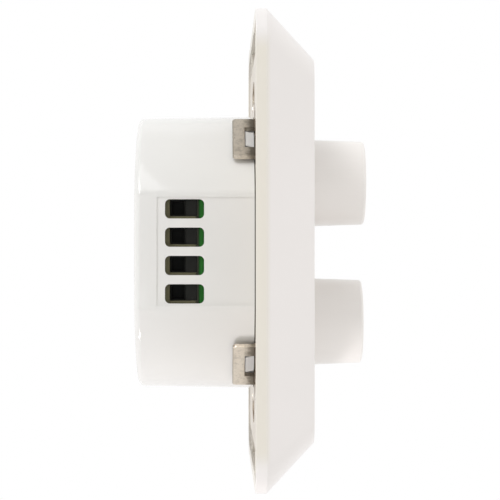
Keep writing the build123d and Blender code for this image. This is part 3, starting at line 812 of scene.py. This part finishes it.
@dataclass
class HousingCup:
    """Round housing with its terminal openings, and the sheet that lines its mouth."""

    bench: Bench
    edge: EdgeRounding = MOULDED_EDGE

    def build(self) -> None:
        """Round and dress the cup, and dress the sheet."""
        self.bench.rounded("housing", self.edge)
        self.bench.keep("insulating_sheet")


@dataclass
class MountingPlate:
    """Pressed steel plate with bent snap tabs."""

    bench: Bench
    edge: EdgeRounding = PRESSED_EDGE

    def build(self) -> None:
        """Round and dress the plate."""
        self.bench.rounded("support_plate", self.edge)


@dataclass
class TerminalRow:
    """Terminal block behind the openings, with its clamps."""

    bench: Bench
    edge: EdgeRounding = PRESSED_EDGE

    def build(self) -> None:
        """Round and dress the block and the clamps."""
        self.bench.rounded("terminal_block", self.edge)
        self.bench.rounded("wire_clamps", self.edge)


@dataclass
class LoadedBoard:
    """Circuit board with the components that it carries."""

    bench: Bench
    components: tuple[str, ...] = ("film_capacitor", "supply_capacitor", "fuse", "controller_chip")

    def build(self) -> None:
        """Dress the board, its components and the two channels' power parts."""
        self.bench.keep("circuit_board", "left_transistor", "right_transistor", *self.components)
        for channel in Channel:
            self.bench.keep(f"{channel.value}_choke_core", f"{channel.value}_choke_winding")


@dataclass
class TurningControls:
    """Potentiometers with push switches, and the nuts that clamp them."""

    bench: Bench
    edge: EdgeRounding = PRESSED_EDGE
    members: tuple[str, ...] = (
        "pot_case", "rotor", "track_wafer", "switch_base", "plunger", "shaft",
    )

    def build(self) -> None:
        """Dress both controls with their springs, and round and dress the nuts."""
        for channel in Channel:
            self.bench.keep(*(f"{channel.value}_{member}" for member in self.members))
            self.bench.springy(f"{channel.value}_return_spring", f"{channel.value}_plunger")
        self.bench.rounded("shaft_nuts", self.edge)
        self.bench.keep("lock_washers")


@dataclass(frozen=True)
class Softbox:
    """One soft lamp. Its width lies level."""

    name: str
    place: Triple
    size: Span
    power: float
    colour: Colour = WHITE
    aim: Triple = MIDDLE

    def hang(self) -> None:
        """Put the lamp in its place."""
        lamp = bpy.data.lights.new(self.name, "AREA")
        lamp.shape = "RECTANGLE"
        lamp.size, lamp.size_y = self.size
        lamp.energy = self.power
        lamp.color = self.colour
        made = bpy.data.objects.new(self.name, lamp)
        bpy.context.scene.collection.objects.link(made)
        made.location = self.place
        made.rotation_mode = "QUATERNION"
        back = Vector(self.place) - Vector(self.aim)
        made.rotation_quaternion = back.to_track_quat("Z", "Y")


@dataclass(frozen=True)
class Glow:
    """Soft light from one side of the studio, strongest in the middle."""

    toward: Triple
    colour: Colour


@dataclass
class Studio:
    """Plain white studio: floor, soft walls, softboxes and the camera."""

    floor_level: float = -420.0 * MM
    floor_side: float = 8.0
    floor_tones: tuple[Colour, Colour] = ((0.9, 0.9, 0.89), (0.88, 0.88, 0.875))
    floor_tone_scale: float = 6.0
    shadow_radii: Span = (0.5, 1.5)
    watched_white: float = 0.35
    mirrored_white: float = 0.8
    backdrop_range: Span = (0.3, 0.7)
    camera_place: Triple = (-350.0 * MM, 6.3 * MM, -2.5 * MM)
    camera_aim: Triple = (0.0, 0.63 * MM, 0.43 * MM)
    lens: float = 133.4
    sensor: float = 36.0
    clip: Span = (0.01, 50.0)
    walls: Colour = (0.49, 0.485, 0.475)
    glows: tuple[Glow, ...] = (
        Glow((0.0, 1.0, 0.0), (0.5, 0.5, 0.5)),
        Glow((0.0, -1.0, 0.0), (0.74, 0.73, 0.72)),
        Glow((-1.0, 0.0, 0.0), (0.11, 0.11, 0.11)),
        Glow((1.0, 0.0, 0.0), (0.44, 0.44, 0.44)),
    )
    softboxes: tuple[Softbox, ...] = (
        Softbox("key", (-0.5, 0.32, 0.69), (0.34, 0.26), 1.95),
        Softbox(
            "high_left",
            (-0.38, 0.429, 0.82),
            (0.7, 0.415),
            1.75,
            COOL_WHITE,
            aim=(0.0, 0.453, 0.0),
        ),
        Softbox("high_right", (0.13, -0.23, 0.65), (0.5, 0.3), 0.27),
        Softbox("low_left", (-0.09, 0.16, -0.375), (0.09, 0.065), 0.46, ROSY_WHITE),
        Softbox("low_right", (-0.272, -0.471, -0.254), (0.45, 0.26), 0.33, ROSY_WHITE),
    )

    def build(self) -> None:
        """Make the whole studio."""
        bpy.context.scene.view_settings.view_transform = "Standard"
        self._walls()
        self._floor()
        for box in self.softboxes:
            box.hang()
        self._camera()

    def _walls(self) -> None:
        """World with soft light from its sides, white where the backdrop shows."""
        world = bpy.data.worlds.new("studio")
        bpy.context.scene.world = world
        world.use_nodes = True
        tree = ShaderTree(world.node_tree)
        direction = tree.node("ShaderNodeTexCoord", output="Generated")
        light: Value | Colour = self.walls
        for glow in self.glows:
            share = tree.facing(direction, glow.toward).larger(0.0)
            light = tree.blend(share * share, light, glow.colour, "ADD")
        behind = tree.along(direction, Axis.ACROSS).ease(*self.backdrop_range)
        white = tree.watched().larger(tree.mirrored() * behind)
        colour = tree.blend(white, light, WHITE)
        shader = tree.node("ShaderNodeBackground", inputs={"Color": colour, "Strength": 1.0})
        tree.node("ShaderNodeOutputWorld", inputs={"Surface": shader})

    def _floor(self) -> None:
        """Pale floor that keeps the shadow near the part and is white further off."""
        bpy.ops.object.select_all(action="DESELECT")
        middle = (0.0, 0.0, self.floor_level)
        bpy.ops.mesh.primitive_plane_add(size=self.floor_side, location=middle)
        floor = bpy.context.object
        floor.name = "floor"
        bpy.ops.object.transform_apply(location=True, rotation=True, scale=True)
        made, tree = new_tree("pale_floor")
        place = tree.place()
        far = tree.length(tree.stretched(place, WITHOUT_HEIGHT)).ease(*self.shadow_radii)
        seen = tree.watched() * (self.watched_white + (1.0 - self.watched_white) * far)
        shown = tree.mirrored() * (self.mirrored_white + (1.0 - self.mirrored_white) * far)
        share = seen.larger(shown)
        pale = tree.blend(tree.noise(place, self.floor_tone_scale), *self.floor_tones)
        matt = tree.node("ShaderNodeBsdfDiffuse", inputs={"Color": pale})
        white = tree.node("ShaderNodeEmission", inputs={"Color": WHITE, "Strength": 1.0})
        mixed = tree.node("ShaderNodeMixShader", inputs={0: share, 1: matt, 2: white})
        tree.node(MATERIAL_OUTPUT, inputs={"Surface": mixed})
        floor.data.materials.append(made)

    def _camera(self) -> None:
        """Camera level with the part, on its terminal side."""
        data = bpy.data.cameras.new("camera")
        data.lens = self.lens
        data.sensor_width = self.sensor
        data.clip_start, data.clip_end = self.clip
        camera = bpy.data.objects.new("camera", data)
        bpy.context.scene.collection.objects.link(camera)
        camera.location = self.camera_place
        gaze = Vector(self.camera_aim) - Vector(self.camera_place)
        camera.rotation_mode = "QUATERNION"
        camera.rotation_quaternion = gaze.to_track_quat("-Z", "Y")
        bpy.context.scene.camera = camera


GROUPS = (
    CoverSet,
    KnobPair,
    HousingCup,
    MountingPlate,
    TerminalRow,
    LoadedBoard,
    TurningControls,
)


def clear_scene() -> None:
    """Remove whatever the start-up file holds."""
    for item in list(bpy.data.objects):
        bpy.data.objects.remove(item)


def main() -> None:
    """Load the part, dress every piece and set up the studio."""
    logging.basicConfig(level=logging.INFO, format="%(name)s: %(message)s")
    clear_scene()
    bench = Bench(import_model())
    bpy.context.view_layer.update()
    for group in GROUPS:
        group(bench).build()
    Studio().build()
    bpy.context.view_layer.update()


if __name__ == "__main__":
    main()
